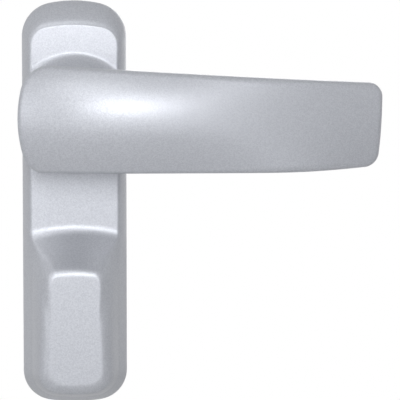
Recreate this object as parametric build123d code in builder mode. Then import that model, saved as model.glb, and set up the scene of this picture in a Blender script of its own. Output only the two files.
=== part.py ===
"""Outside lever trim for a rim panic latch: a cast lever on a blind, narrow escutcheon."""

from build123d import *
from math import asin, atan, atan2, cos, degrees, hypot, pi, radians, sin, sqrt, tan
import os

# Directions. The door face is the plane Y = 0 and the trim stands off it towards -Y.
# A depth is a distance off the door face, so the front plane at that depth is FRONT.offset(depth).
# The spindle's axis runs along Y through the origin, +Z is up and the lever points to +X.
FRONT = Plane.XZ

# Escutcheon cover, a thin casting open towards the door
plate_width = 44.4
plate_top = 47.9
plate_bottom = 124.4
plate_top_crown_radius = 50.0
plate_top_corner_radius = 14.5
plate_bottom_crown_radius = 73.0
plate_bottom_corner_radius = 13.2
rim_height = 3.0
cover_wall = 2.4
panel_depth = 12.0
panel_side_inset = 3.6
panel_top_inset = 10.0
panel_crown_radius = 62.0
panel_corner_radius = 8.0
rim_edge_radius = 1.2
panel_edge_radius = 0.7

# Round boss that carries the lever's neck
boss_foot_radius = 25.2
boss_face_radius = 17.7
boss_depth = 20.0
boss_edge_radius = 0.8
boss_foot_fillet = 3.0
boss_foot_sink = 0.02

# Boxed-out lower bulge
bulge_start = 49.0
crest_radius = 114.0
crest_corner_radius = 2.5
bulge_wall = 2.8
pad_top = 65.8
pad_bottom = 115.8
pad_depth = 25.0
pad_crown_radius = 60.0
pad_top_corner_radius = 8.5
pad_bottom_corner_radius = 8.0
slope_hollow = 0.6
bulge_section_count = 5
pad_edge_radius = 3.5
cavity_corner_radius = 2.5

# Door gasket and back plate
gasket_thickness = 1.0
gasket_inset = 0.6
gasket_ring_width = 5.5
back_plate_thickness = 2.0
back_plate_clearance = 0.2

# Neck of the lever, its bushes and what holds it in the cover
neck_radius = 13.0
journal_radius = 11.0
running_clearance = 0.05
face_clearance = 0.1
collar_clearance = 0.3
neck_bush_radius = 12.5
neck_bush_flange_radius = 14.0
neck_bush_flange = 1.2
thrust_washer_thickness = 0.8
disc_spring_height = 0.95
disc_spring_thickness = 0.4
retaining_ring_thickness = 1.0
retaining_ring_radius = 13.0
retaining_groove_radius = 9.8
retaining_ring_gap_angle = 50.0
retaining_ring_lug_radius = 1.9
retaining_ring_eye_radius = 0.8
neck_end_gap = 0.8
seal_wire_radius = 0.75
seal_groove_clearance = 0.1

# Square spindle
spindle_side = 8.0
spindle_clearance = 0.05
spindle_front = 40.0
spindle_reach = 45.0
spindle_chamfer = 1.0

# Grub screw in the underside of the neck
grub_radius = 3.0
grub_length = 8.0
grub_depth = 29.0
grub_socket_radius = 1.7
grub_socket_depth = 3.0

# Drive cam and its rear bush
cam_tail_radius = 7.5
rear_bush_radius = 9.2
rear_bush_flange_radius = 10.8
rear_bush_flange = 1.0
cam_thickness = 2.5
cam_radius = 12.2
cam_hub_radius = 9.0
cam_ear_radius = 16.6
cam_ear_half_width = 3.2
cam_pin_radius = 1.2
cam_pin_circle = 14.4
cam_pin_end_gap = 0.4

# Return spring, coiled clockwise as seen from the front
spring_wire_radius = 0.65
spring_coil_radius = 11.0
spring_pitch = 1.8
spring_quarter_turns = 9
spring_seat_gap = 0.4
spring_leg_gap = 0.1
spring_fixed_leg = 14.0
spring_moving_leg = 8.5
spring_sleeve_wall = 0.85
spring_post_radius = 1.5
spring_post_setback = 1.2
spring_post_overlap = 1.0

# Stops for the lever's travel
lever_travel = 45.0
stop_pin_radius = 1.75
stop_pin_circle = 15.4
stop_gap = 0.15
stop_pin_overlap = 1.0

# Fixings
pillar_radius = 5.0
pillar_flange_radius = 7.0
pillar_flange = 2.0
pillar_reach = 9.0
pillar_thread_radius = 2.5
pillar_clearance = 0.1
pillar_top = 33.0
pillar_bottom = 104.0
cover_screw_radius = 2.0
cover_screw_head_radius = 3.8
cover_screw_length = 7.5
cover_screw_drive_radius = 1.5
cover_screw_drive_depth = 1.0
cover_post_radius = 4.2
cover_screw_x = 12.5
cover_screw_top = 28.0
cover_screw_bottom = 108.0

# Inside of the casting: locating pegs and stiffening ribs
peg_radius = 1.5
peg_post_radius = 2.8
peg_clearance = 0.15
peg_heights = (22.5, -34.0)
rib_thickness = 1.6
rib_back_depth = 6.0
rib_height_first = -27.0
rib_spacing = 13.0
rib_count = 2
bulge_rib_height_first = -72.0
bulge_rib_spacing = 11.0
bulge_rib_count = 2
bulge_rib_back_depth = 15.0

# Lever: its outline as seen from the front
hub_end = 23.1
hub_end_radius = 55.0
hub_top = 21.6
hub_bottom = 22.95
tip_end = 127.8
tip_top = 13.5
tip_bottom = 21.0
tip_slant = 2.0
tip_bow = 0.6
top_hollow = 0.8
bottom_straight_end = 80.0
hub_top_corner = 12.5
hub_bottom_corner = 9.5
tip_top_corner = 6.0
tip_bottom_corner = 6.5

# Lever: its thickness and the sweep of its front, as seen from above
lever_front_depth = 60.0
ridge_x = 22.0
hub_sweep_radius = 125.0
grip_sweep_radius = 275.0
hub_thickness = 15.5
tip_thickness = 10.0
hub_crown = 7.5
tip_crown = 1.2
crown_fade_start = 30.0
crown_fade_end = 95.0
section_overrun = 5.0
section_count = 7
lever_front_edge = 3.0
lever_back_edge = 3.0
neck_embed = 6.0

# Sizes that follow from the ones above
plate_half = plate_width / 2
seat_depth = gasket_thickness
plate_front = seat_depth + back_plate_thickness
bevel_height = panel_depth - rim_height
side_slope = panel_side_inset / bevel_height
top_slope = panel_top_inset / bevel_height
bottom_slope = (plate_bottom - pad_bottom) / (pad_depth - rim_height)
crest_lean = asin(
    (plate_half - panel_side_inset - crest_corner_radius) / (crest_radius - crest_corner_radius)
)
crest_end = bulge_start + crest_radius - (crest_radius - crest_corner_radius) * cos(crest_lean)
boss_slope = (boss_foot_radius - boss_face_radius) / (boss_depth - panel_depth)
boss_inner_depth = boss_depth - cover_wall
journal_bore = journal_radius + running_clearance
bush_rear = boss_inner_depth - neck_bush_flange
thrust_rear = bush_rear - running_clearance - thrust_washer_thickness
ring_front = thrust_rear - disc_spring_height
ring_rear = ring_front - retaining_ring_thickness
neck_end = ring_rear - neck_end_gap
collar_depth = boss_depth + collar_clearance
socket_half = spindle_side / 2 + spindle_clearance
rear_bush_front = plate_front + rear_bush_flange
cam_rear = rear_bush_front + face_clearance
cam_front = cam_rear + cam_thickness
cam_pin_front = ring_rear - cam_pin_end_gap
coil_rear = cam_front + spring_seat_gap + spring_wire_radius
contact_offset = spring_wire_radius + spring_leg_gap + cam_pin_radius
cam_pin_drop = spring_coil_radius + contact_offset
cam_pin_left = sqrt(cam_pin_circle**2 - cam_pin_drop**2)
cam_ear_angle = degrees(asin(cam_pin_drop / cam_pin_circle)) + 180
hub_end_bow = hub_end_radius - sqrt(hub_end_radius**2 - ((hub_top + hub_bottom) / 2) ** 2)
stop_offset = cam_ear_half_width + stop_pin_radius + stop_gap
stop_angle = degrees(asin(stop_offset / stop_pin_circle))


def half_width_at(depth: float) -> float:
    """Half the casting's width at a depth above its rim, on the drafted sides."""
    return plate_half - side_slope * (depth - rim_height)


def arc_ended(
    half_width: float, top: float, bottom: float, crowns: tuple, corners: tuple
) -> Sketch:
    """A tall outline whose ends are a shallow crown arc run into two corner arcs, top first."""
    straight_ends = []
    with BuildSketch(Plane.XY) as outline:
        with BuildLine():
            for side, end, crown, corner in zip((1, -1), (top, bottom), crowns, corners):
                corner_x = half_width - corner
                lean = degrees(asin(corner_x / (crown - corner)))
                centre = side * (end - crown + (crown - corner) * cos(radians(lean)))
                up = 90 * side
                CenterArc((0, side * (end - crown)), crown, up - lean, 2 * lean)
                CenterArc((corner_x, centre), corner, up - side * lean, side * (lean - 90))
                CenterArc((-corner_x, centre), corner, up + side * lean, side * (90 - lean))
                straight_ends.append(centre)
            Line(*[(half_width, height) for height in straight_ends])
            Line(*[(-half_width, height) for height in straight_ends])
        make_face()
    return outline.sketch


def rim_outline(inset: float) -> Sketch:
    """The casting's outline at its rim, drawn in all round by the inset."""
    return arc_ended(
        plate_half - inset,
        plate_top - inset,
        plate_bottom - inset,
        (plate_top_crown_radius - inset, plate_bottom_crown_radius - inset),
        (plate_top_corner_radius - inset, plate_bottom_corner_radius - inset),
    )


def drafted_outline(depth: float, inset: float, top: float, crown: float, corner: float) -> Sketch:
    """The casting's outline at a depth, on its drafted walls, with the top end that is asked for."""
    share = (depth - rim_height) / (pad_depth - rim_height)
    bottom_crown = plate_bottom_crown_radius * (1 - share) + pad_crown_radius * share
    bottom_corner = plate_bottom_corner_radius * (1 - share) + pad_bottom_corner_radius * share
    return arc_ended(
        half_width_at(depth) - inset,
        top,
        plate_bottom - bottom_slope * (depth - rim_height) - inset,
        (crown, bottom_crown - inset),
        (max(corner - inset, cavity_corner_radius), max(bottom_corner - inset, cavity_corner_radius)),
    )


def plate_form(inset: float) -> Part:
    """The plate: a straight rim wall, then a bevel up to the panel."""
    depth = panel_depth - inset
    top = plate_top - top_slope * (depth - rim_height) - inset
    rim = rim_outline(inset)
    panel = drafted_outline(depth, inset, top, panel_crown_radius - inset, panel_corner_radius)
    with BuildPart() as form:
        with BuildSketch(FRONT.offset(seat_depth)):
            add(rim)
        extrude(amount=rim_height - seat_depth)
        with BuildSketch(FRONT.offset(rim_height)):
            add(rim)
        with BuildSketch(FRONT.offset(depth)):
            add(panel)
        loft(ruled=True)
    return form.part


def boss_form(inset: float) -> Part:
    """The round boss: a cone with a hollow foot, cut by the planes of the drafted sides."""
    depth = boss_depth - inset
    arc_radius = boss_foot_fillet + inset
    cone_radius = boss_foot_radius - inset * hypot(1, boss_slope)
    face_radius = cone_radius - boss_slope * (depth - panel_depth)
    foot_depth = panel_depth - inset - boss_foot_sink
    lean = atan(1 / boss_slope)
    arc_depth = foot_depth + arc_radius * (1 - cos(lean))
    arc_start = cone_radius - boss_slope * (arc_depth - panel_depth)
    arc_end = arc_start + arc_radius * sin(lean)
    rim_half = plate_half - inset
    face_half = half_width_at(depth) - inset
    with BuildPart() as form:
        with BuildSketch(Plane.XY):
            with BuildLine():
                Polyline(
                    (arc_end, -foot_depth),
                    (arc_end, -rim_height),
                    (0, -rim_height),
                    (0, -depth),
                    (face_radius, -depth),
                    (arc_start, -arc_depth),
                )
                TangentArc((arc_end, -foot_depth), (arc_start, -arc_depth), tangent=(-1, 0))
            make_face()
            fillet(vertices().sort_by_distance((face_radius, -depth))[0], boss_edge_radius)
        revolve(axis=Axis.Y)
        with BuildSketch(Plane.XY):
            with BuildLine():
                Polyline(
                    (-rim_half, -rim_height),
                    (rim_half, -rim_height),
                    (face_half, -depth),
                    (-face_half, -depth),
                    close=True,
                )
            make_face()
        extrude(amount=arc_end, both=True, mode=Mode.INTERSECT)
    return form.part


def slope_height_at(depth: float, inset: float) -> float:
    """Height of the bulge's slope at a depth: shallow at the crest, steeper towards the pad."""
    run = pad_top - bulge_start
    share = (depth + inset - panel_depth) / (pad_depth - panel_depth)
    wall_drop = inset * tan(atan2(pad_depth - panel_depth, run) / 2)
    return -bulge_start - run * share * (1 + slope_hollow * (1 - share)) - wall_drop


def bulge_form(inset: float) -> Part:
    """The lower bulge on the panel: outlines narrowing to the pad, their top corners growing rounder."""
    foot = panel_depth - inset
    step = (pad_depth - inset - foot) / (bulge_section_count - 1)
    with BuildPart() as form:
        for number in range(bulge_section_count):
            depth = foot + number * step
            share = number / (bulge_section_count - 1)
            corner = crest_corner_radius * (1 - share) + pad_top_corner_radius * share
            with BuildSketch(FRONT.offset(depth)):
                add(drafted_outline(depth, inset, slope_height_at(depth, inset), crest_radius, corner))
        loft()
    return form.part


def lever_front_at(x: float) -> float:
    """Depth of the lever's ridge line: two arcs that meet, tangent, at the ridge."""
    radius = hub_sweep_radius if x < ridge_x else grip_sweep_radius
    return lever_front_depth - (radius - sqrt(radius**2 - (x - ridge_x) ** 2))


def lever_thickness_at(x: float) -> float:
    """Thickness of the lever behind its ridge line, thinning evenly from the ridge to the tip."""
    share = max(0, (x - ridge_x) / (tip_end - ridge_x))
    return hub_thickness + (tip_thickness - hub_thickness) * share


def lever_crown_at(x: float) -> float:
    """How far the front falls back from the ridge to the hub's edge, fading to a flat grip."""
    share = min(1, max(0, (x - crown_fade_start) / (crown_fade_end - crown_fade_start)))
    return tip_crown + (hub_crown - tip_crown) * (1 + cos(pi * share)) / 2


def spring_point(quarter: float) -> Vector:
    """A point on the coil's centre line, counted in quarter turns from its rear end."""
    angle = -quarter * pi / 2
    depth = coil_rear + spring_pitch * quarter / 4
    return Vector(spring_coil_radius * cos(angle), -depth, spring_coil_radius * sin(angle))


def spring_heading(quarter: float) -> Vector:
    """The coil's direction there, as a unit vector."""
    angle = -quarter * pi / 2
    rise = spring_pitch / (2 * pi)
    return Vector(
        spring_coil_radius * sin(angle), -rise, -spring_coil_radius * cos(angle)
    ).normalized()


# Escutcheon cover
with BuildPart() as rounded_bulge:
    add(bulge_form(0))
    fillet(faces().sort_by(Axis.Y)[0].edges(), pad_edge_radius)

with BuildPart() as rounded_plate:
    add(plate_form(0))
    fillet(faces().sort_by(Axis.Y)[0].edges(), panel_edge_radius)
    split(bisect_by=Plane.XY.offset(-crest_end), keep=Keep.TOP)

with BuildPart() as lower_plate:
    add(plate_form(0))
    split(bisect_by=Plane.XY.offset(-crest_end), keep=Keep.BOTTOM)

with BuildPart() as outer_form:
    add(rounded_plate.part)
    add(lower_plate.part)
    add(rounded_bulge.part)
    add(boss_form(0))
    fillet(edges().filter_by_position(Axis.Y, -rim_height, -rim_height), rim_edge_radius)

with BuildPart() as inner_form:
    add(plate_form(cover_wall))
    add(boss_form(cover_wall))
    add(bulge_form(bulge_wall))

with BuildPart() as middle_form:
    add(plate_form(cover_wall / 2))
    add(boss_form(cover_wall / 2))
    add(bulge_form(bulge_wall / 2))

cover_screw_places = [
    (side * cover_screw_x, height)
    for side in (-1, 1)
    for height in (cover_screw_top, -cover_screw_bottom)
]
peg_places = [(0, height) for height in peg_heights]
rib_places = [(0, rib_height_first - number * rib_spacing) for number in range(rib_count)]
bulge_rib_places = [
    (0, bulge_rib_height_first - number * bulge_rib_spacing) for number in range(bulge_rib_count)
]
pillar_places = [(0, pillar_top), (0, -pillar_bottom)]
pin_places = [
    (stop_pin_circle * cos(radians(angle)), stop_pin_circle * sin(radians(angle)))
    for angle in (cam_ear_angle + stop_angle, cam_ear_angle - lever_travel - stop_angle)
]
cam_pin_place = (-cam_pin_left, -cam_pin_drop)
ring_gap_half = radians(retaining_ring_gap_angle / 2)
ring_gap_far = 2 * retaining_ring_radius
ring_gap_reach = ring_gap_far * tan(ring_gap_half)
eye_circle = retaining_ring_radius - retaining_ring_eye_radius
eye_angle = ring_gap_half + retaining_ring_lug_radius / eye_circle
eye_places = [(side * eye_circle * sin(eye_angle), eye_circle * cos(eye_angle)) for side in (-1, 1)]
post_place = (
    spring_coil_radius + spring_wire_radius + spring_leg_gap + spring_post_radius,
    spring_fixed_leg - spring_post_setback,
)

# Posts and ribs end inside the thickness of the wall that they stand on
with BuildPart() as fittings:
    with BuildSketch(FRONT.offset(plate_front)):
        with Locations(*cover_screw_places):
            Circle(cover_post_radius)
        with Locations(*peg_places):
            Circle(peg_post_radius)
    extrude(amount=pad_depth)
    with BuildSketch(FRONT.offset(rib_back_depth)):
        with Locations(*rib_places):
            Rectangle(plate_width, rib_thickness)
    extrude(amount=pad_depth)
    with BuildSketch(FRONT.offset(bulge_rib_back_depth)):
        with Locations(*bulge_rib_places):
            Rectangle(plate_width, rib_thickness)
    extrude(amount=pad_depth)
    add(middle_form.part, mode=Mode.INTERSECT)

with BuildPart() as escutcheon_cover:
    add(outer_form.part)
    add(inner_form.part, mode=Mode.SUBTRACT)
    add(fittings.part)
    with BuildSketch(FRONT.offset(boss_inner_depth)):
        Circle(neck_bush_radius)
    extrude(amount=cover_wall, mode=Mode.SUBTRACT)
    with BuildSketch(FRONT.offset(plate_front)):
        with Locations(*peg_places):
            Circle(peg_radius)
    extrude(amount=-back_plate_thickness)
    with BuildSketch(FRONT.offset(seat_depth)):
        with Locations(*cover_screw_places):
            Circle(cover_screw_radius)
    extrude(amount=cover_screw_length, mode=Mode.SUBTRACT)
escutcheon_cover.part.label = "escutcheon_cover"


# Back plate, with countersinks on its door side
with BuildPart() as back_plate:
    with BuildSketch(FRONT.offset(seat_depth)):
        add(rim_outline(cover_wall + back_plate_clearance))
        with Locations(*pillar_places):
            Circle(pillar_radius + pillar_clearance, mode=Mode.SUBTRACT)
        with Locations(*peg_places):
            Circle(peg_radius + peg_clearance, mode=Mode.SUBTRACT)
        with Locations(*cover_screw_places):
            Circle(cover_screw_radius, mode=Mode.SUBTRACT)
        with Locations(*pin_places):
            Circle(stop_pin_radius, mode=Mode.SUBTRACT)
        with Locations(post_place):
            Circle(spring_post_radius, mode=Mode.SUBTRACT)
        Circle(rear_bush_radius, mode=Mode.SUBTRACT)
    extrude(amount=back_plate_thickness)
    with BuildSketch(FRONT.offset(seat_depth)):
        with Locations(*cover_screw_places):
            Circle(cover_screw_head_radius)
    extrude(amount=cover_screw_head_radius - cover_screw_radius, taper=45, mode=Mode.SUBTRACT)
back_plate.part.label = "back_plate"

# Door gasket, a flat ring under the cover's rim and the back plate's edge
with BuildPart() as door_gasket:
    with BuildSketch(FRONT):
        add(rim_outline(gasket_inset))
        add(rim_outline(gasket_inset + gasket_ring_width), mode=Mode.SUBTRACT)
    extrude(amount=gasket_thickness)
door_gasket.part.label = "door_gasket"

# Countersunk screws that hold the back plate in the cover
with BuildPart() as cover_screws:
    with BuildSketch(FRONT.offset(seat_depth)):
        with Locations(*cover_screw_places):
            Circle(cover_screw_radius)
    extrude(amount=cover_screw_length)
    with BuildSketch(FRONT.offset(seat_depth)):
        with Locations(*cover_screw_places):
            Circle(cover_screw_head_radius)
    extrude(amount=cover_screw_head_radius - cover_screw_radius, taper=45)
    with BuildSketch(FRONT.offset(seat_depth)):
        with Locations(*cover_screw_places):
            RegularPolygon(cover_screw_drive_radius, 6)
    extrude(amount=cover_screw_drive_depth, mode=Mode.SUBTRACT)
cover_screws.part.label = "cover_screws"

# Tapped pillars, flanged inside the back plate and standing into the door
with BuildPart() as fixing_pillars:
    with BuildSketch(FRONT.offset(plate_front)):
        with Locations(*pillar_places):
            Circle(pillar_flange_radius)
    extrude(amount=pillar_flange)
    with BuildSketch(FRONT.offset(plate_front)):
        with Locations(*pillar_places):
            Circle(pillar_radius)
    extrude(amount=-(plate_front + pillar_reach))
    with BuildSketch(FRONT.offset(plate_front + pillar_flange)):
        with Locations(*pillar_places):
            Circle(pillar_thread_radius)
    extrude(amount=-(plate_front + pillar_flange + pillar_reach), mode=Mode.SUBTRACT)
fixing_pillars.part.label = "fixing_pillars"

# Flanged bush in the boss, where the neck's journal turns
with BuildPart() as neck_bush:
    with BuildSketch(FRONT.offset(bush_rear)):
        Circle(neck_bush_flange_radius)
    extrude(amount=neck_bush_flange)
    with BuildSketch(FRONT.offset(boss_inner_depth)):
        Circle(neck_bush_radius)
    extrude(amount=cover_wall)
    with BuildSketch(FRONT.offset(bush_rear)):
        Circle(journal_bore)
    extrude(amount=neck_bush_flange + cover_wall, mode=Mode.SUBTRACT)
neck_bush.part.label = "neck_bush"

# Flanged bush in the back plate, where the cam's tail turns
with BuildPart() as rear_bush:
    with BuildSketch(FRONT.offset(seat_depth)):
        Circle(rear_bush_radius)
    extrude(amount=back_plate_thickness)
    with BuildSketch(FRONT.offset(plate_front)):
        Circle(rear_bush_flange_radius)
    extrude(amount=rear_bush_flange)
    with BuildSketch(FRONT.offset(seat_depth)):
        Circle(cam_tail_radius + running_clearance)
    extrude(amount=back_plate_thickness + rear_bush_flange, mode=Mode.SUBTRACT)
rear_bush.part.label = "rear_bush"

# Pins that end the lever's travel, and the post for the spring's fixed leg
with BuildPart() as stop_pins:
    with BuildSketch(FRONT.offset(seat_depth)):
        with Locations(*pin_places):
            Circle(stop_pin_radius)
    extrude(amount=cam_front + stop_pin_overlap - seat_depth)
stop_pins.part.label = "stop_pins"

with BuildPart() as spring_post:
    with BuildSketch(FRONT.offset(seat_depth)):
        with Locations(post_place):
            Circle(spring_post_radius)
    extrude(amount=coil_rear + spring_wire_radius + spring_post_overlap - seat_depth)
spring_post.part.label = "spring_post"

# Return spring: a straight leg, the coil as pairs of arcs, and a second straight leg
with BuildPart() as return_spring:
    with BuildLine() as spring_path:
        start = spring_point(0)
        Line(start - spring_heading(0) * spring_fixed_leg, start)
        for quarter in range(spring_quarter_turns):
            first, last = spring_point(quarter), spring_point(quarter + 1)
            first_heading, last_heading = spring_heading(quarter), spring_heading(quarter + 1)
            span = last - first
            spread = 2 * (1 - first_heading.dot(last_heading))
            along = span.dot(first_heading + last_heading)
            reach = (sqrt(along**2 + spread * span.dot(span)) - along) / spread
            first_corner = first + first_heading * reach
            last_corner = last - last_heading * reach
            joint = (first_corner + last_corner) * 0.5
            TangentArc(first, joint, tangent=first_heading)
            TangentArc(joint, last, tangent=last_corner - first_corner)
        end = spring_point(spring_quarter_turns)
        Line(end, end + spring_heading(spring_quarter_turns) * spring_moving_leg)
    with BuildSketch(Plane(origin=spring_path.line @ 0, z_dir=spring_path.line % 0)):
        Circle(spring_wire_radius)
    sweep()
return_spring.part.label = "return_spring"

# The coil's least gap to itself, between points more than half a turn apart along the wire
wire = spring_path.wires()[0]
half_turn = pi * spring_coil_radius
sample_count = 400
spring_samples = wire.positions([number / sample_count for number in range(sample_count + 1)])
half_turn_samples = round(half_turn / wire.length * sample_count)
least_distance = min(
    (later - earlier).length
    for number, earlier in enumerate(spring_samples)
    for later in spring_samples[number + half_turn_samples :]
)
print(f"least gap of the return spring to itself: {least_distance - 2 * spring_wire_radius:.2f} mm")

# Drive cam: a tail in the rear bush, a disc with an ear, and a hub inside the coil
with BuildPart() as drive_cam:
    with BuildSketch(FRONT.offset(seat_depth)):
        Circle(cam_tail_radius)
    extrude(amount=cam_front - seat_depth)
    with BuildSketch(FRONT.offset(cam_rear)):
        Circle(cam_ear_radius)
        with Locations(Rotation(0, 0, cam_ear_angle)):
            Rectangle(
                cam_ear_radius,
                2 * cam_ear_half_width,
                align=(Align.MIN, Align.CENTER),
                mode=Mode.INTERSECT,
            )
        Circle(cam_radius)
    extrude(amount=cam_thickness)
    with BuildSketch(FRONT.offset(cam_front)):
        Circle(cam_hub_radius)
    extrude(amount=neck_end - cam_front)
    with BuildSketch(FRONT.offset(seat_depth)):
        Rectangle(2 * socket_half, 2 * socket_half)
        with Locations(cam_pin_place):
            Circle(cam_pin_radius)
    extrude(amount=neck_end - seat_depth, mode=Mode.SUBTRACT)
drive_cam.part.label = "drive_cam"

with BuildPart() as cam_pin:
    with BuildSketch(FRONT.offset(cam_rear)):
        with Locations(cam_pin_place):
            Circle(cam_pin_radius)
    extrude(amount=cam_pin_front - cam_rear)
cam_pin.part.label = "cam_pin"

# Sleeve on the cam's hub that guides the coil
with BuildPart() as spring_sleeve:
    with BuildSketch(FRONT.offset(cam_front)):
        Circle(cam_hub_radius + spring_sleeve_wall)
        Circle(cam_hub_radius, mode=Mode.SUBTRACT)
    extrude(amount=neck_end - cam_front)
spring_sleeve.part.label = "spring_sleeve"

# Retaining ring: an open ring with two eyes, sprung into the neck's groove
with BuildPart() as retaining_ring:
    with BuildSketch(FRONT.offset(ring_rear)):
        Circle(retaining_ring_radius)
        with Locations(*eye_places):
            Circle(retaining_ring_lug_radius)
            Circle(retaining_ring_eye_radius, mode=Mode.SUBTRACT)
        Circle(retaining_groove_radius, mode=Mode.SUBTRACT)
        with BuildLine():
            Polyline((0, 0), (ring_gap_reach, ring_gap_far), (-ring_gap_reach, ring_gap_far), close=True)
        make_face(mode=Mode.SUBTRACT)
    extrude(amount=retaining_ring_thickness)
retaining_ring.part.label = "retaining_ring"

# Disc spring, a shallow cone that takes up the end play
with BuildPart() as disc_spring:
    with BuildSketch(Plane.XY):
        with BuildLine():
            Polyline(
                (journal_bore, -ring_front),
                (neck_bush_flange_radius, -thrust_rear + disc_spring_thickness),
                (neck_bush_flange_radius, -thrust_rear),
                (journal_bore, -ring_front - disc_spring_thickness),
                close=True,
            )
        make_face()
    revolve(axis=Axis.Y)
disc_spring.part.label = "disc_spring"

with BuildPart() as thrust_washer:
    with BuildSketch(FRONT.offset(thrust_rear)):
        Circle(neck_bush_flange_radius)
        Circle(journal_bore, mode=Mode.SUBTRACT)
    extrude(amount=thrust_washer_thickness)
thrust_washer.part.label = "thrust_washer"

# Rubber ring in the neck's second groove, inside the bush
seal_circle = journal_radius - seal_wire_radius
seal_depth = (bush_rear + boss_depth) / 2
with BuildPart() as neck_seal:
    with BuildSketch(Plane.XY):
        with Locations((seal_circle, -seal_depth)):
            Circle(seal_wire_radius)
    revolve(axis=Axis.Y)
neck_seal.part.label = "neck_seal"

# Square spindle
with BuildPart() as square_spindle:
    with BuildSketch(FRONT.offset(-spindle_reach)):
        Rectangle(spindle_side, spindle_side)
    extrude(amount=spindle_reach + spindle_front)
    chamfer(faces().sort_by(Axis.Y)[-1].edges(), spindle_chamfer)
square_spindle.part.label = "square_spindle"

# Lever: sections drawn along its length, cut to the outline seen from the front
section_half = hub_top + section_overrun
section_start = -hub_end - section_overrun
section_step = (tip_end + section_overrun - section_start) / (section_count - 1)
with BuildPart() as lever_handle:
    for number in range(section_count):
        x = section_start + number * section_step
        front = -lever_front_at(x)
        back = front + lever_thickness_at(x)
        edge = front + lever_crown_at(x) * (section_half / hub_top) ** 2
        with BuildSketch(Plane.YZ.offset(x)):
            with BuildLine():
                ThreePointArc((edge, -section_half), (front, 0), (edge, section_half))
                Polyline((edge, section_half), (back, section_half), (back, -section_half))
                Line((back, -section_half), (edge, -section_half))
            make_face()
    loft()
    with BuildSketch(FRONT):
        with BuildLine():
            ThreePointArc(
                (-hub_end + hub_end_bow, -hub_bottom),
                (-hub_end, (hub_top - hub_bottom) / 2),
                (-hub_end + hub_end_bow, hub_top),
            )
            ThreePointArc(
                (-hub_end + hub_end_bow, hub_top),
                (tip_end / 2, (hub_top + tip_top) / 2 - top_hollow),
                (tip_end, tip_top),
            )
            ThreePointArc(
                (tip_end, tip_top),
                (tip_end - tip_slant / 2 + tip_bow, (tip_top - tip_bottom) / 2),
                (tip_end - tip_slant, -tip_bottom),
            )
            Line((-hub_end + hub_end_bow, -hub_bottom), (bottom_straight_end, -hub_bottom))
            TangentArc((bottom_straight_end, -hub_bottom), (tip_end - tip_slant, -tip_bottom), tangent=(1, 0))
        make_face()
        for corner, radius in (
            ((-hub_end + hub_end_bow, hub_top), hub_top_corner),
            ((-hub_end + hub_end_bow, -hub_bottom), hub_bottom_corner),
            ((tip_end, tip_top), tip_top_corner),
            ((tip_end - tip_slant, -tip_bottom), tip_bottom_corner),
        ):
            fillet(vertices().sort_by_distance(corner)[0], radius)
    extrude(amount=lever_front_depth + section_overrun, mode=Mode.INTERSECT)
    front_face, back_face = faces().sort_by(SortBy.AREA)[-2:].sort_by(Axis.Y)
    fillet(front_face.edges(), lever_front_edge)
    fillet(faces().sort_by(SortBy.AREA)[-2:].sort_by(Axis.Y)[1].edges(), lever_back_edge)
    with BuildSketch(FRONT.offset(collar_depth)):
        Circle(neck_radius)
    extrude(amount=lever_front_depth - hub_thickness - collar_depth + neck_embed)
    with BuildSketch(FRONT.offset(neck_end)):
        Circle(journal_radius)
    extrude(amount=collar_depth - neck_end)
    with BuildSketch(FRONT.offset(ring_rear)):
        Circle(journal_radius)
        Circle(retaining_groove_radius, mode=Mode.SUBTRACT)
    extrude(amount=retaining_ring_thickness, mode=Mode.SUBTRACT)
    with BuildSketch(FRONT.offset(seal_depth - seal_wire_radius - seal_groove_clearance)):
        Circle(journal_radius)
        Circle(journal_radius - 2 * seal_wire_radius, mode=Mode.SUBTRACT)
    extrude(amount=2 * (seal_wire_radius + seal_groove_clearance), mode=Mode.SUBTRACT)
    with BuildSketch(FRONT.offset(neck_end)):
        Rectangle(2 * socket_half, 2 * socket_half)
    extrude(amount=spindle_front - neck_end, mode=Mode.SUBTRACT)
    with BuildSketch(Plane.XY.offset(-neck_radius)):
        with Locations((0, -grub_depth)):
            Circle(grub_radius)
    extrude(amount=neck_radius - spindle_side / 2, mode=Mode.SUBTRACT)
lever_handle.part.label = "lever_handle"

# Grub screw in the neck, tight on the spindle's lower flat
with BuildPart() as grub_screw:
    with BuildSketch(Plane.XY.offset(-spindle_side / 2 - grub_length)):
        with Locations((0, -grub_depth)):
            Circle(grub_radius)
    extrude(amount=grub_length)
    with BuildSketch(Plane.XY.offset(-spindle_side / 2 - grub_length)):
        with Locations((0, -grub_depth)):
            RegularPolygon(grub_socket_radius, 6)
    extrude(amount=grub_socket_depth, mode=Mode.SUBTRACT)
grub_screw.part.label = "grub_screw"

pieces = (
    escutcheon_cover,
    back_plate,
    door_gasket,
    cover_screws,
    fixing_pillars,
    neck_bush,
    rear_bush,
    stop_pins,
    spring_post,
    return_spring,
    lever_handle,
    square_spindle,
    drive_cam,
    cam_pin,
    spring_sleeve,
    retaining_ring,
    disc_spring,
    thrust_washer,
    neck_seal,
    grub_screw,
)
os.makedirs("parts", exist_ok=True)
for piece in pieces:
    export_step(piece.part, f"parts/{piece.part.label}.step")
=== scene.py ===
"""Dresses the lever door trim: a cast lever on a blind escutcheon, in silver flake paint."""

import logging
import math
from dataclasses import dataclass, field
from enum import Enum

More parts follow.
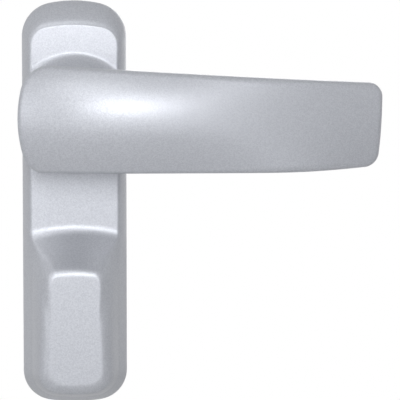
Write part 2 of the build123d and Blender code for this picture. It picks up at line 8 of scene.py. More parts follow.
import bmesh
import bpy
import numpy as np
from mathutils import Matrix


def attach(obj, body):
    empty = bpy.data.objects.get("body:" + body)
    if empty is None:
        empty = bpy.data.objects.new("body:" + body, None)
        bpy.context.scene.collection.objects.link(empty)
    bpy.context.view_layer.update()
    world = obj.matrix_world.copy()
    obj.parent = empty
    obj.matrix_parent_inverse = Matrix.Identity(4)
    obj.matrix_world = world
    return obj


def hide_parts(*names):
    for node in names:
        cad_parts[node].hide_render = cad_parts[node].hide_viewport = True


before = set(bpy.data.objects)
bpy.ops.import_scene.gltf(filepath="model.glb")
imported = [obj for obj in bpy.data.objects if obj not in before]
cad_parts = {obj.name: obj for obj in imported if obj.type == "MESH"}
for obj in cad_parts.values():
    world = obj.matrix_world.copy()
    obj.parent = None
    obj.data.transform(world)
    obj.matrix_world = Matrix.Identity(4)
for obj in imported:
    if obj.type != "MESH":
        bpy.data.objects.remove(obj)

LOG = logging.getLogger("lever_trim")
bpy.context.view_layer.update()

MM = 0.001
PHOTO_PIXELS = 400
MERGE_GAP = 0.001 * MM

# The sRGB curve: a straight start, then a power of the lifted value
SRGB_STRAIGHT_END = 0.04045
SRGB_STRAIGHT_SLOPE = 12.92
SRGB_LIFT = 0.055
SRGB_POWER = 2.4

# Sockets of the Mix node when it mixes colours
MIX_SHARE = 0
MIX_FIRST = 6
MIX_SECOND = 7
MIX_RESULT = 2


def linear(hex_colour: str) -> tuple[float, float, float, float]:
    """Turn an sRGB hex colour into linear RGBA.

    Args:
        hex_colour: six hex digits, without a sign in front.

    Returns:
        The linear red, green, blue and a full alpha.
    """
    shares = (int(hex_colour[start:start + 2], 16) / 255 for start in (0, 2, 4))
    red, green, blue = (
        share / SRGB_STRAIGHT_SLOPE
        if share <= SRGB_STRAIGHT_END
        else ((share + SRGB_LIFT) / (1 + SRGB_LIFT)) ** SRGB_POWER
        for share in shares
    )
    return red, green, blue, 1.0


def add_node(
    tree: bpy.types.NodeTree,
    kind: str,
    settings: dict[str, object] | None = None,
    inputs: dict[str | int, object] | None = None,
) -> bpy.types.Node:
    """Add one node with its settings, values and links.

    Args:
        tree: the node tree that gets the node.
        kind: Blender's name for the node's type.
        settings: properties of the node by name.
        inputs: by socket, a plain value or the output socket that feeds it.

    Returns:
        The new node.
    """
    node = tree.nodes.new(kind)
    for name, value in (settings or {}).items():
        setattr(node, name, value)
    for socket, value in (inputs or {}).items():
        if isinstance(value, bpy.types.NodeSocket):
            tree.links.new(value, node.inputs[socket])
        else:
            node.inputs[socket].default_value = value
    return node


def new_material(name: str) -> tuple[bpy.types.Material, bpy.types.NodeTree, bpy.types.NodeSocket]:
    """Make an empty material.

    Args:
        name: the material's name.

    Returns:
        The material, its node tree and the socket of its Object coordinates.
    """
    material = bpy.data.materials.new(name)
    material.use_nodes = True
    tree = material.node_tree
    tree.nodes.clear()
    place = add_node(tree, "ShaderNodeTexCoord").outputs["Object"]
    return material, tree, place


def finish_surface(tree: bpy.types.NodeTree, inputs: dict[str | int, object]) -> None:
    """End a material in a Principled shader.

    Args:
        tree: the material's node tree.
        inputs: values and links for the shader's own sockets.
    """
    shader = add_node(tree, "ShaderNodeBsdfPrincipled", inputs=inputs)
    add_node(tree, "ShaderNodeOutputMaterial", inputs={"Surface": shader.outputs[0]})


@dataclass(frozen=True)
class FlakePaint:
    """Silver aluminium-flake lacquer, sprayed on a cast and blasted body.

    The flakes lie nearly flat in a clear binder: the paint glints in fine grains,
    brightens softly towards the light and never mirrors. The casting below leaves a
    faint orange peel. The blasted edges below are a little round and the lacquer fills
    the corners, so the shading goes softly over both.
    """

    name: str = "aluminium_flake_paint_on_casting"
    shade: str = "CBCED6"
    dark_flake: str = "C3C6CE"
    bright_flake: str = "D3D6DD"
    flake_size: float = 0.4 * MM
    flake_tilt: float = 0.05
    peel_size: float = 2.2 * MM
    peel_detail: float = 1.0
    peel_depth: float = 0.012 * MM
    edge_round: float = 0.9 * MM
    edge_samples: int = 6
    metallic: float = 0.3
    roughness: float = 0.37

    def material(self) -> bpy.types.Material:
        """Build the paint; real flakes are 0.02 to 0.1 mm, drawn coarser so that they show."""
        material, tree, place = new_material(self.name)
        grains = add_node(
            tree, "ShaderNodeTexVoronoi", inputs={"Vector": place, "Scale": 1 / self.flake_size}
        )
        channels = add_node(
            tree, "ShaderNodeSeparateColor", inputs={"Color": grains.outputs["Color"]}
        )
        tint = add_node(tree, "ShaderNodeValToRGB", inputs={"Fac": channels.outputs["Red"]})
        ramp = tint.color_ramp.elements
        ramp[0].color = linear(self.dark_flake)
        ramp[1].color = linear(self.bright_flake)
        ramp.new(0.5).color = linear(self.shade)
        tilt, half_tilt = self.flake_tilt, self.flake_tilt / 2
        lean = add_node(
            tree,
            "ShaderNodeVectorMath",
            {"operation": "MULTIPLY_ADD"},
            {0: grains.outputs["Color"], 1: (tilt,) * 3, 2: (-half_tilt,) * 3},
        )
        ripple = add_node(
            tree,
            "ShaderNodeTexNoise",
            inputs={"Vector": place, "Scale": 1 / self.peel_size, "Detail": self.peel_detail},
        )
        rounded = add_node(
            tree, "ShaderNodeBevel", {"samples": self.edge_samples}, {"Radius": self.edge_round}
        )
        peel = add_node(
            tree,
            "ShaderNodeBump",
            inputs={
                "Height": ripple.outputs["Fac"],
                "Distance": self.peel_depth,
                "Strength": 1.0,
                "Normal": rounded.outputs["Normal"],
            },
        )
        leaning = add_node(
            tree,
            "ShaderNodeVectorMath",
            {"operation": "ADD"},
            {0: peel.outputs["Normal"], 1: lean.outputs["Vector"]},
        )
        facing = add_node(
            tree,
            "ShaderNodeVectorMath",
            {"operation": "NORMALIZE"},
            {0: leaning.outputs["Vector"]},
        )
        finish_surface(
            tree,
            {
                "Base Color": tint.outputs["Color"],
                "Metallic": self.metallic,
                "Roughness": self.roughness,
                "Normal": facing.outputs["Vector"],
            },
        )
        return material


@dataclass(frozen=True)
class PlatedSteel:
    """Zinc-plated pressed and turned steel: pale, faintly blue, with a soft cloudy spangle."""

    name: str = "zinc_plated_steel"
    pale: str = "B7BAC0"
    deep: str = "8F949C"
    cloud_size: float = 6.0 * MM
    cloud_detail: float = 3.0
    grain_size: float = 0.35 * MM
    grain_depth: float = 0.004 * MM
    roughness: float = 0.34
    roughness_spread: float = 0.10

    def material(self) -> bpy.types.Material:
        """Build the plating: clouds vary its colour and roughness, a fine grain its relief."""
        material, tree, place = new_material(self.name)
        clouds = add_node(
            tree,
            "ShaderNodeTexNoise",
            inputs={"Vector": place, "Scale": 1 / self.cloud_size, "Detail": self.cloud_detail},
        )
        tint = add_node(
            tree,
            "ShaderNodeMix",
            {"data_type": "RGBA"},
            {
                MIX_SHARE: clouds.outputs["Fac"],
                MIX_FIRST: linear(self.deep),
                MIX_SECOND: linear(self.pale),
            },
        )
        dullness = add_node(
            tree,
            "ShaderNodeMapRange",
            inputs={
                "Value": clouds.outputs["Fac"],
                "To Min": self.roughness + self.roughness_spread,
                "To Max": self.roughness - self.roughness_spread,
            },
        )
        grain = add_node(
            tree, "ShaderNodeTexNoise", inputs={"Vector": place, "Scale": 1 / self.grain_size}
        )
        relief = add_node(
            tree,
            "ShaderNodeBump",
            inputs={"Height": grain.outputs["Fac"], "Distance": self.grain_depth, "Strength": 1.0},
        )
        finish_surface(
            tree,
            {
                "Base Color": tint.outputs[MIX_RESULT],
                "Metallic": 1.0,
                "Roughness": dullness.outputs["Result"],
                "Normal": relief.outputs["Normal"],
            },
        )
        return material


class Lay(Enum):
    """Which way the marks of drawing or turning run, as stretch along X, Y and Z."""

    ALONG_SPINDLE = (1.0, 0.02, 1.0)
    ROUND_SPINDLE = (0.15, 1.0, 0.15)


@dataclass(frozen=True)
class DrawnSteel:
    """Steel that keeps the fine lines of drawing or turning along one direction."""

    name: str
    pale: str
    deep: str
    lay: Lay
    roughness: float
    line_width: float = 0.25 * MM
    line_detail: float = 2.0
    line_depth: float = 0.006 * MM

    def material(self) -> bpy.types.Material:
        """Build the steel: a noise stretched along the lay gives its lines."""
        material, tree, place = new_material(self.name)
        stretched = add_node(
            tree, "ShaderNodeMapping", inputs={"Vector": place, "Scale": self.lay.value}
        )
        lines = add_node(
            tree,
            "ShaderNodeTexNoise",
            inputs={
                "Vector": stretched.outputs["Vector"],
                "Scale": 1 / self.line_width,
                "Detail": self.line_detail,
            },
        )
        tint = add_node(
            tree,
            "ShaderNodeMix",
            {"data_type": "RGBA"},
            {
                MIX_SHARE: lines.outputs["Fac"],
                MIX_FIRST: linear(self.deep),
                MIX_SECOND: linear(self.pale),
            },
        )
        relief = add_node(
            tree,
            "ShaderNodeBump",
            inputs={"Height": lines.outputs["Fac"], "Distance": self.line_depth, "Strength": 1.0},
        )
        finish_surface(
            tree,
            {
                "Base Color": tint.outputs[MIX_RESULT],
                "Metallic": 1.0,
                "Roughness": self.roughness,
                "Normal": relief.outputs["Normal"],
            },
        )
        return material


@dataclass(frozen=True)
class MouldedPolymer:
    """A moulded or extruded polymer: one colour, slightly mottled, with a fine eroded grain."""

    name: str
    pale: str
    deep: str
    roughness: float
    ior: float
    mottle_size: float = 4.0 * MM
    mottle_detail: float = 2.0
    grain_size: float = 0.3 * MM
    grain_depth: float = 0.01 * MM

    def material(self) -> bpy.types.Material:
        """Build the polymer: mottle in its colour and grain in its relief."""
        material, tree, place = new_material(self.name)
        mottle = add_node(
            tree,
            "ShaderNodeTexNoise",
            inputs={
                "Vector": place,
                "Scale": 1 / self.mottle_size,
                "Detail": self.mottle_detail,
            },
        )
        tint = add_node(
            tree,
            "ShaderNodeMix",
            {"data_type": "RGBA"},
            {
                MIX_SHARE: mottle.outputs["Fac"],
                MIX_FIRST: linear(self.deep),
                MIX_SECOND: linear(self.pale),
            },
        )
        grain = add_node(
            tree, "ShaderNodeTexNoise", inputs={"Vector": place, "Scale": 1 / self.grain_size}
        )
        relief = add_node(
            tree,
            "ShaderNodeBump",
            inputs={"Height": grain.outputs["Fac"], "Distance": self.grain_depth, "Strength": 1.0},
        )
        finish_surface(
            tree,
            {
                "Base Color": tint.outputs[MIX_RESULT],
                "Roughness": self.roughness,
                "IOR": self.ior,
                "Normal": relief.outputs["Normal"],
            },
        )
        return material


def dress(nodes: tuple[str, ...], material: bpy.types.Material) -> None:
    """Give CAD nodes a material.

    Args:
        nodes: names of the nodes.
        material: the material for all their faces.
    """
    for name in nodes:
        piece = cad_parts[name]
        for slot in piece.material_slots:
            slot.material = material
        if not piece.material_slots:
            piece.data.materials.append(material)
        LOG.info("%s: %s", name, material.name)


def soft_min(low: np.ndarray, high: np.ndarray, blend: np.ndarray | float) -> np.ndarray:
    """Take the lower of two heights, rounded where they meet.

    The rounding takes away a quarter of (blend - gap) squared over the blend, where the
    gap between the heights is less than the blend.

    Args:
        low: the one height.
        high: the other height.
        blend: the gap at which the rounding starts.

    Returns:
        The rounded lower height.
    """
    overlap = np.clip(blend - np.abs(low - high), 0, None)
    return np.minimum(low, high) - overlap**2 / (4 * blend)


def soft_max(low: np.ndarray, high: np.ndarray, blend: np.ndarray | float) -> np.ndarray:
    """Take the higher of two heights, filled where they meet, as soft_min's mirror image.

    Args:
        low: the one height.
        high: the other height.
        blend: the gap at which the fill starts.

    Returns:
        The filled higher height.
    """
    return -soft_min(-low, -high, blend)


def smooth_share(value: np.ndarray, start: float, end: float) -> np.ndarray:
    """Go from 0 at start to 1 at end along 3 t squared - 2 t cubed.

    Args:
        value: where to read the share.
        start: the value that gives 0.
        end: the value that gives 1.

    Returns:
        The share, between 0 and 1.
    """
    part = np.clip((value - start) / (end - start), 0, 1)
    return part**2 * (3 - 2 * part)


@dataclass
class CastShell:
    """The cover's casting in millimetres, with the soft edges and hollows of a cast form.

    The shell is a grid: one way round the outline, the other inwards from the rim over the
    outlines of the panel and the pad to the middle line. A point's depth off the door is
    the softly higher of two: the plate, which is the softly lower of the sloping wall and
    the roof of panel and boss, and the bulge, which the same wall bounds.
    """

    # Outlines: the ends' distances from the spindle, top then bottom, with the radii of
    # their crown and corner arcs in the same order, and half the width. The taper is the
    # share by which the pad is narrower at its top and wider at its bottom
    rim_ends: tuple[float, float] = (47.89, 124.39)
    rim_crowns: tuple[float, float] = (50.0, 73.0)
    rim_corners: tuple[float, float] = (14.5, 13.2)
    rim_half: float = 22.2
    panel_ends: tuple[float, float] = (37.9, 120.9)
    panel_crowns: tuple[float, float] = (62.0, 70.0)
    panel_corners: tuple[float, float] = (8.0, 11.0)
    panel_half: float = 18.6
    pad_ends: tuple[float, float] = (33.0, 118.2)
    pad_crowns: tuple[float, float] = (62.0, 60.0)
    pad_corners: tuple[float, float] = (5.0, 8.0)
    pad_half: float = 14.6
    pad_taper: float = 0.045

    # Depths off the door
    seat: float = 1.0
    rim: float = 3.0
    panel: float = 12.0
    boss_depth: float = 20.0
    pad_depth: float = 25.0

    # Wall: its thickness, the width and drop of the rounding at its foot, its belly beside
    # the bulge and its further rise within the pad
    thickness: float = 2.0
    rim_round: float = 1.2
    rim_drop: float = 0.8
    wall_belly: float = 0.5
    inner_rise: float = 34.0

    # Boss: the radii of its foot, its face and its bore
    boss_foot: float = 24.3
    boss_face: float = 17.2
    bore: float = 12.5

    # Bulge: the arcs at which its slope starts and ends, and the slope's hollow
    crest: float = 49.4
    crest_radius: float = 78.0
    pad_top: float = 65.8
    pad_top_radius: float = 60.0
    slope_hollow: float = 0.6

    # Blends: the gap in depth at which two forms start to round into each other. The
    # slope's one beside the wall grows from crest_edge to slope_edge over a share of the rise
    panel_edge: float = 1.2
    boss_edge: float = 1.2
    boss_fillet: float = 2.2
    crest_fillet: float = 1.8
    crest_edge: float = 1.5
    slope_edge: float = 15.0
    slope_edge_end: float = 0.8
    pad_edge: float = 10.0
    pad_top_edge: float = 1.6
    least_blend: float = 0.001

    # Grid: points round the corner and crown arcs, along the sides and round the bore,
    # rows over the rim's rounding and on to panel, pad and middle line, and the heights at
    # which the middle line ends
    end_counts: tuple[int, int] = (30, 16)
    side_count: int = 165
    bore_count: int = 96
    rounding_count: int = 9
    row_counts: tuple[int, int, int] = (24, 18, 36)
    middle_ends: tuple[float, float] = (-104.0, 25.0)

    # How far the bore's cutter stands out, and the angle in degrees from which an edge is sharp
    bore_overrun: float = 2.0
    sharp_angle: float = 50.0

    def quarter(self, half: float, end: float, crown: float, corner: float) -> np.ndarray:
        """Walk from a side round the corner arc to the middle of the crown arc.

        Args:
            half: half the outline's width.
            end: height of the crown's middle.
            crown: radius of the crown arc.
            corner: radius of the corner arc.

        Returns:
            Rows of x and height.
        """
        corner_x = half - corner
        lean = math.asin(corner_x / (crown - corner))
        centre = end - crown + (crown - corner) * math.cos(lean)
        corner_turn = math.pi / 2 - lean
        round_corner = np.linspace(0, corner_turn, self.end_counts[0], endpoint=False)
        along_crown = np.linspace(corner_turn, math.pi / 2, self.end_counts[1])
        turn = np.concatenate([round_corner, along_crown])
        on_crown = turn >= corner_turn
        radius = np.where(on_crown, crown, corner)
        x = np.where(on_crown, 0, corner_x) + radius * np.cos(turn)
        height = np.where(on_crown, end - crown, centre) + radius * np.sin(turn)
        return np.stack([x, height], axis=1)

    def outline(
        self,
        half: float,
        ends: tuple[float, float],
        crowns: tuple[float, float],
        corners: tuple[float, float],
    ) -> np.ndarray:
        """Go round an outline once, from the bottom's middle up the right side.

        Args:
            half: half the outline's width.
            ends: distances of its top and bottom from the spindle.
            crowns: radii of the top's and bottom's crown arcs.
            corners: radii of the top's and bottom's corner arcs.

        Returns:
            Rows of x and z.
        """
        upper = self.quarter(half, ends[0], crowns[0], corners[0])
        lower = self.quarter(half, ends[1], crowns[1], corners[1]) * (1, -1)
        side = np.linspace(lower[0], upper[0], self.side_count + 2)[1:-1]
        right = np.concatenate([lower[::-1], side, upper])
        return np.concatenate([right, right[-2:0:-1] * (-1, 1)])

    def pad_outline(self) -> np.ndarray:
        """Go round the pad, whose half width goes from less to more than its mean downwards."""
        pad = self.outline(self.pad_half, self.pad_ends, self.pad_crowns, self.pad_corners)
        lean = 2 * smooth_share(pad[:, 1], -self.pad_top, -self.pad_ends[1]) - 1
        below_crest = smooth_share(pad[:, 1], -self.crest, -self.pad_top)
        pad[:, 0] *= 1 + self.pad_taper * lean * below_crest
        return pad

    def roof_height(self, x: np.ndarray, z: np.ndarray) -> np.ndarray:
        """Height of panel and boss: the boss is a cone cut flat, with a fillet at its foot.

        Args:
            x: distance to the right of the spindle.
            z: height above the spindle.

        Returns:
            Depth off the door.
        """
        slope = (self.boss_depth - self.panel) / (self.boss_foot - self.boss_face)
        cone = self.boss_depth - slope * (np.hypot(x, z) - self.boss_face)
        boss = soft_min(cone, np.full_like(cone, self.boss_depth), self.boss_edge)
        return soft_max(np.full_like(boss, self.panel), boss, self.boss_fillet)

    def bulge_height(self, x: np.ndarray, z: np.ndarray, wall: np.ndarray) -> np.ndarray:
        """Height of the bulge: its slope and wall softly meet and are softly cut off at the pad.

        The slope rises from the crest's arc to the pad's along a straight line less four
        times the hollow times share (1 - share). It rounds into the wall more and more
        from the crest on. The cut is soft beside the pad and crisper above it.

        Args:
            x: distance to the right of the spindle.
            z: height above the spindle.
            wall: height of the wall.

        Returns:
            Depth off the door.
        """
        crest = -self.crest - (self.crest_radius - np.sqrt(self.crest_radius**2 - x**2))
        pad = -self.pad_top - (self.pad_top_radius - np.sqrt(self.pad_top_radius**2 - x**2))
        share = (crest - z) / (crest - pad)
        within = np.clip(share, 0, 1)
        rise = self.panel + (self.pad_depth - self.panel) * share
        rise = rise - 4 * self.slope_hollow * within * (1 - within)
        grown = smooth_share(share, 0, self.slope_edge_end)
        corner = self.crest_edge + (self.slope_edge - self.crest_edge) * grown
        flank = smooth_share(rise - wall, -self.slope_edge / 2, self.slope_edge / 2)
        edge = self.pad_top_edge + (self.pad_edge - self.pad_top_edge) * flank
        flanks = soft_min(wall, rise, corner)
        return soft_min(flanks, np.full_like(flanks, self.pad_depth), edge)

    def surface(self) -> np.ndarray:
        """Work out the outer surface, row by row from the seat to the middle line.

        The first rows round the wall's foot over a quarter of a circle. The next ones go in
        even steps to the panel's outline, on to the pad's and on to the middle line. The
        wall rises evenly from rim to panel, plus a belly of share times (1 - share), then
        evenly to the pad's depth and further within the pad, where the pad cuts it off.

        Returns:
            Rows, round the outline, of x, y and z in metres.
        """
        rim = self.outline(self.rim_half, self.rim_ends, self.rim_crowns, self.rim_corners)
        panel = self.outline(
            self.panel_half, self.panel_ends, self.panel_crowns, self.panel_corners
        )
        pad = self.pad_outline()
        middle = np.stack([0 * rim[:, 0], np.clip(rim[:, 1], *self.middle_ends)], axis=1)
        turn = np.linspace(0, math.pi / 2, self.rounding_count)[:, None]
        run = np.linalg.norm(panel - rim, axis=1)
        rounded = self.rim_round * (1 - np.cos(turn)) / run
        up_wall, past_panel, past_pad = (
            np.linspace(0, 1, count + 1)[1:, None] for count in self.row_counts
        )
        up_wall = np.concatenate([rounded, rounded[-1] + (1 - rounded[-1]) * up_wall])
        plan = np.concatenate(
            [
                rim + (panel - rim) * up_wall[..., None],
                panel + (pad - panel) * past_panel[..., None],
                pad + (middle - pad) * past_pad[..., None],
            ]
        )
        x, z = plan[..., 0], plan[..., 1]
        belly = self.wall_belly * smooth_share(rim[:, 1], -self.pad_top, -self.crest)
        level = np.ones_like(rim[:, 0])
        wall = np.concatenate(
            [
                self.rim + (self.panel - self.rim) * up_wall * (1 + belly * (1 - up_wall)),
                (self.panel + (self.pad_depth - self.panel) * past_panel) * level,
                (self.pad_depth + self.inner_rise * past_pad) * level,
            ]
        )
        drop = 0 * wall
        drop[: len(turn)] = self.rim_drop * (1 - np.sin(turn))
        plate = soft_min(wall, self.roof_height(x, z), self.panel_edge)
        bulge = self.bulge_height(x, z, wall)
        fillet = self.crest_fillet * smooth_share(wall, self.rim, self.panel) + self.least_blend
        depth = soft_max(plate, bulge, fillet) - drop
        seat = np.stack([x[0], 0 * x[0] - self.seat, z[0]], axis=1)[None]
        return np.concatenate([seat, np.stack([x, -depth, z], axis=2)]) * MM

    def cutter(self) -> bpy.types.Object:
        """Make the round tool that cuts the bore: a circle carried along the spindle's axis."""
        turn = np.linspace(0, 2 * math.pi, self.bore_count, endpoint=False)
        circle = np.stack([self.bore * np.cos(turn), 0 * turn, self.bore * np.sin(turn)], axis=1)
        front = self.pad_depth + self.bore_overrun
        ends = circle + np.array([[[0, -self.panel, 0]], [[0, -front, 0]]])
        return grid_object("bore_cutter", ends * MM, capped=True)

    def build(self, name: str) -> bpy.types.Object:
        """Make the shell, give it its wall and cut the bore.

        Args:
            name: the object's name.

        Returns:
            The finished shell, at the origin.
        """
        shell = grid_object(name, self.surface(), capped=False)
        wall = shell.modifiers.new("wall", "SOLIDIFY")
        wall.thickness, wall.offset = self.thickness * MM, -1.0
        cutter = self.cutter()
        bore = shell.modifiers.new("bore", "BOOLEAN")
        bore.operation, bore.solver, bore.object = "DIFFERENCE", "EXACT", cutter
        finished = bpy.data.meshes.new_from_object(
            shell.evaluated_get(bpy.context.evaluated_depsgraph_get())
        )
        shell.modifiers.clear()
        shell.data = finished
        bpy.data.objects.remove(cutter)
        finished.shade_smooth()
        finished.set_sharp_from_angle(angle=math.radians(self.sharp_angle))
        return shell


def grid_object(name: str, rows: np.ndarray, capped: bool) -> bpy.types.Object:
    """Make an object from rows of points that each go round once.

    Args:
        name: the object's name.
        rows: row by round by x, y, z, in metres.
        capped: whether the first and last rows are closed with a face.

    Returns:
        The object, with doubled points merged and its faces turned outwards.
    """
    count, around = rows.shape[:2]
    index = np.arange(count * around).reshape(count, around)
    ahead = np.roll(index, -1, axis=1)
    quads = np.stack([index[:-1], ahead[:-1], ahead[1:], index[1:]], axis=2).reshape(-1, 4)
    faces = quads.tolist() + ([index[0].tolist(), index[-1].tolist()] if capped else [])
    mesh = bpy.data.meshes.new(name)
    mesh.from_pydata(rows.reshape(-1, 3), [], faces)
    work = bmesh.new()
    work.from_mesh(mesh)
    bmesh.ops.remove_doubles(work, verts=work.verts, dist=MERGE_GAP)
    bmesh.ops.recalc_face_normals(work, faces=work.faces)
    work.to_mesh(mesh)
    work.free()
    made = bpy.data.objects.new(name, mesh)
    bpy.context.scene.collection.objects.link(made)
    return made


@dataclass
class Escutcheon:
    """The cast cover with its back plate, gasket and fixings."""

    shell: CastShell = field(default_factory=CastShell)
    paint: FlakePaint = FlakePaint("aluminium_flake_paint_on_cover")
    plating: PlatedSteel = field(default_factory=PlatedSteel)
    rubber: MouldedPolymer = MouldedPolymer("epdm_rubber", "2B2B2D", "202022", 0.72, 1.52)
    pins: DrawnSteel = DrawnSteel(
        "drawn_pin_steel", "C3C5C8", "9A9DA1", Lay.ALONG_SPINDLE, 0.24
    )

    def build(self) -> None:
        """Make the cover and dress its plate, gasket, screws, pillars and pins."""
        cover = self.shell.build("cast_cover")
        cover.data.materials.clear()
        cover.data.materials.append(self.paint.material())
        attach(cover, "trim")
        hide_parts("escutcheon_cover")
        LOG.info("%s: %d faces", cover.name, len(cover.data.polygons))
        dress(("back_plate", "cover_screws", "fixing_pillars"), self.plating.material())
        dress(("door_gasket", "neck_seal"), self.rubber.material())
        dress(("stop_pins", "spring_post"), self.pins.material())


@dataclass
class LeverHandle:
    """The cast lever, its square spindle and its grub screw."""

    paint: FlakePaint = FlakePaint("aluminium_flake_paint_on_lever")
    bar: DrawnSteel = DrawnSteel(
        "cold_drawn_bar_steel", "C9CBCD", "A0A3A6", Lay.ALONG_SPINDLE, 0.28
    )
    screw: DrawnSteel = DrawnSteel(
        "blackened_screw_steel", "3C3D40", "28292B", Lay.ROUND_SPINDLE, 0.4
    )

    def build(self) -> None:
        """Dress the lever, the spindle and the grub screw."""
        dress(("lever_handle",), self.paint.material())
        dress(("square_spindle",), self.bar.material())
        dress(("grub_screw",), self.screw.material())


@dataclass
class ReturnMechanism:
    """The cam, spring, bushes and rings behind the lever."""

    plating: PlatedSteel = PlatedSteel(name="zinc_plated_cam_steel", grain_depth=0.006 * MM)
    spring: DrawnSteel = DrawnSteel(
        "oil_tempered_spring_steel", "6A6B70", "4A4B50", Lay.ROUND_SPINDLE, 0.32
    )
    washer: DrawnSteel = DrawnSteel(
        "ground_washer_steel", "C6C8CB", "A2A5A9", Lay.ROUND_SPINDLE, 0.22
    )
    acetal: MouldedPolymer = MouldedPolymer("moulded_acetal", "E8E6DF", "DCD9D0", 0.38, 1.48)

    def build(self) -> None:
        """Dress the cam and its pin, the springs, the washers and the bushes."""
        dress(("drive_cam",), self.plating.material())
        dress(("return_spring", "retaining_ring", "disc_spring"), self.spring.material())
        dress(("thrust_washer", "cam_pin"), self.washer.material())
        dress(("neck_bush", "rear_bush", "spring_sleeve"), self.acetal.material())


@dataclass(frozen=True)
class Softbox:
    """A rectangular area lamp that is aimed at a point."""

    name: str
    place: tuple[float, float, float]
    target: tuple[float, float, float]
    width: float
    height: float
    watts: float
    colour: str = "FFFFFF"

    def build(self) -> None:
        """Hang the lamp and aim it."""
        light = bpy.data.lights.new(self.name, "AREA")
        light.shape = "RECTANGLE"
        light.size, light.size_y = self.width, self.height
        light.energy = self.watts
        light.color = linear(self.colour)[:3]
        lamp = bpy.data.objects.new(self.name, light)
        bpy.context.scene.collection.objects.link(lamp)
        lamp.location = self.place
        gap = np.subtract(self.target, self.place)
        lamp.rotation_euler = (
            math.pi / 2 + math.atan2(gap[2], math.hypot(gap[0], gap[1])),
            0.0,
            math.atan2(-gap[0], gap[1]),
        )


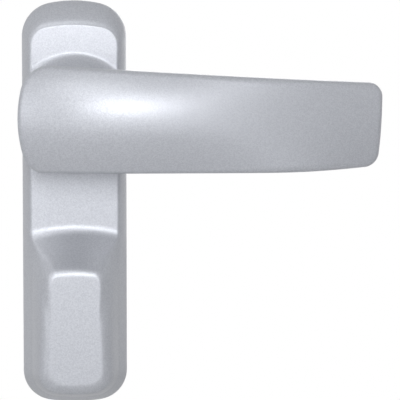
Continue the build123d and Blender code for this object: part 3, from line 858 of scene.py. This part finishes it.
@dataclass
class Studio:
    """White room: floor, surroundings, lamps and the camera of the photograph."""

    camera_place: tuple[float, float, float] = (0.0, -1.0, 0.041)
    camera_yaw: float = -3.085
    camera_pitch: float = -4.5
    sensor: float = 36.0
    pixel_at_door: float = 0.4288 * MM
    floor_height: float = -0.2
    floor_width: float = 3.0
    floor_front: float = -1.5
    floor_back: float = 0.4
    floor_colour: str = "F2F2F2"
    floor_glow: float = 0.75
    room_light: float = 0.0
    lamps: tuple[Softbox, ...] = (
        Softbox("key", (0.0, -1.1, 0.24), (0.0, 0.0, -0.02), 0.35, 0.35, 3.5),
        Softbox("front_fill", (0.0, -1.4, 0.1), (0.0, 0.0, 0.0), 1.2, 1.2, 0.7),
        Softbox("top_fill", (-0.3, -1.0, 0.75), (0.0, 0.0, 0.0), 0.6, 0.4, 1.6),
        Softbox("left_fill", (-0.9, -0.8, 0.15), (0.0, 0.0, -0.04), 0.6, 0.7, 1.9),
        Softbox("low_fill", (0.0, -0.8, -0.16), (0.0, 0.0, 0.0), 0.8, 0.2, 0.6),
        Softbox("rear_fill", (0.3, 1.2, 0.3), (0.0, 0.0, -0.02), 0.8, 0.8, 3.0),
    )

    def build(self) -> None:
        """Set the colours' transform, then build the room, the lamps and the camera."""
        bpy.context.scene.view_settings.view_transform = "Standard"
        self.lay_floor()
        self.light_room()
        for lamp in self.lamps:
            lamp.build()
            LOG.info("lamp %s: %.1f W", lamp.name, lamp.watts)
        self.place_camera()

    def seen_white(self, tree: bpy.types.NodeTree) -> bpy.types.NodeSocket:
        """Build the share, 1 or 0, of rays that see the plain white background.

        Args:
            tree: the node tree that gets the nodes.

        Returns:
            The socket that is 1 for camera, glossy and transmission rays.
        """
        path = add_node(tree, "ShaderNodeLightPath")
        share = path.outputs["Is Camera Ray"]
        for ray in ("Is Glossy Ray", "Is Transmission Ray"):
            share = add_node(
                tree, "ShaderNodeMath", {"operation": "MAXIMUM"}, {0: share, 1: path.outputs[ray]}
            ).outputs[0]
        return share

    def lay_floor(self) -> None:
        """Lay the floor below the view: part paint, part glow, so that it keeps a shadow."""
        half = self.floor_width / 2
        corners = [
            (-half, self.floor_front, self.floor_height),
            (half, self.floor_front, self.floor_height),
            (half, self.floor_back, self.floor_height),
            (-half, self.floor_back, self.floor_height),
        ]
        mesh = bpy.data.meshes.new("floor")
        mesh.from_pydata(corners, [], [(0, 1, 2, 3)])
        floor = bpy.data.objects.new("floor", mesh)
        bpy.context.scene.collection.objects.link(floor)
        material, tree, _ = new_material("matt_white_floor")
        glow = add_node(tree, "ShaderNodeEmission", inputs={"Strength": 1.0})
        paint = add_node(
            tree, "ShaderNodeBsdfDiffuse", inputs={"Color": linear(self.floor_colour)}
        )
        share = add_node(
            tree,
            "ShaderNodeMath",
            {"operation": "MULTIPLY"},
            {0: self.seen_white(tree), 1: self.floor_glow},
        )
        mixed = add_node(
            tree,
            "ShaderNodeMixShader",
            inputs={0: share.outputs[0], 1: paint.outputs[0], 2: glow.outputs[0]},
        )
        add_node(tree, "ShaderNodeOutputMaterial", inputs={"Surface": mixed.outputs[0]})
        mesh.materials.append(material)

    def light_room(self) -> None:
        """Make the surroundings white to the eye and in gloss, and dark as a lamp."""
        world = bpy.data.worlds.new("white_room")
        world.use_nodes = True
        tree = world.node_tree
        tree.nodes.clear()
        strength = add_node(
            tree,
            "ShaderNodeMapRange",
            inputs={"Value": self.seen_white(tree), "To Min": self.room_light, "To Max": 1.0},
        )
        room = add_node(
            tree,
            "ShaderNodeBackground",
            inputs={"Color": linear("FFFFFF"), "Strength": strength.outputs[0]},
        )
        add_node(tree, "ShaderNodeOutputWorld", inputs={"Surface": room.outputs[0]})
        bpy.context.scene.world = world

    def place_camera(self) -> None:
        """Put the camera where the photograph was taken from."""
        lens = bpy.data.cameras.new("photo_view")
        lens.sensor_width = self.sensor
        distance = -self.camera_place[1]
        lens.lens = self.sensor * distance / (self.pixel_at_door * PHOTO_PIXELS)
        camera = bpy.data.objects.new("photo_view", lens)
        camera.location = self.camera_place
        camera.rotation_euler = (
            math.radians(90 + self.camera_pitch),
            0.0,
            math.radians(self.camera_yaw),
        )
        bpy.context.scene.collection.objects.link(camera)
        bpy.context.scene.camera = camera


def main() -> None:
    """Build the sub-assemblies in order, then the studio."""
    logging.basicConfig(level=logging.INFO, format="%(name)s: %(message)s")
    Escutcheon().build()
    LeverHandle().build()
    ReturnMechanism().build()
    Studio().build()


if __name__ == "__main__":
    main()
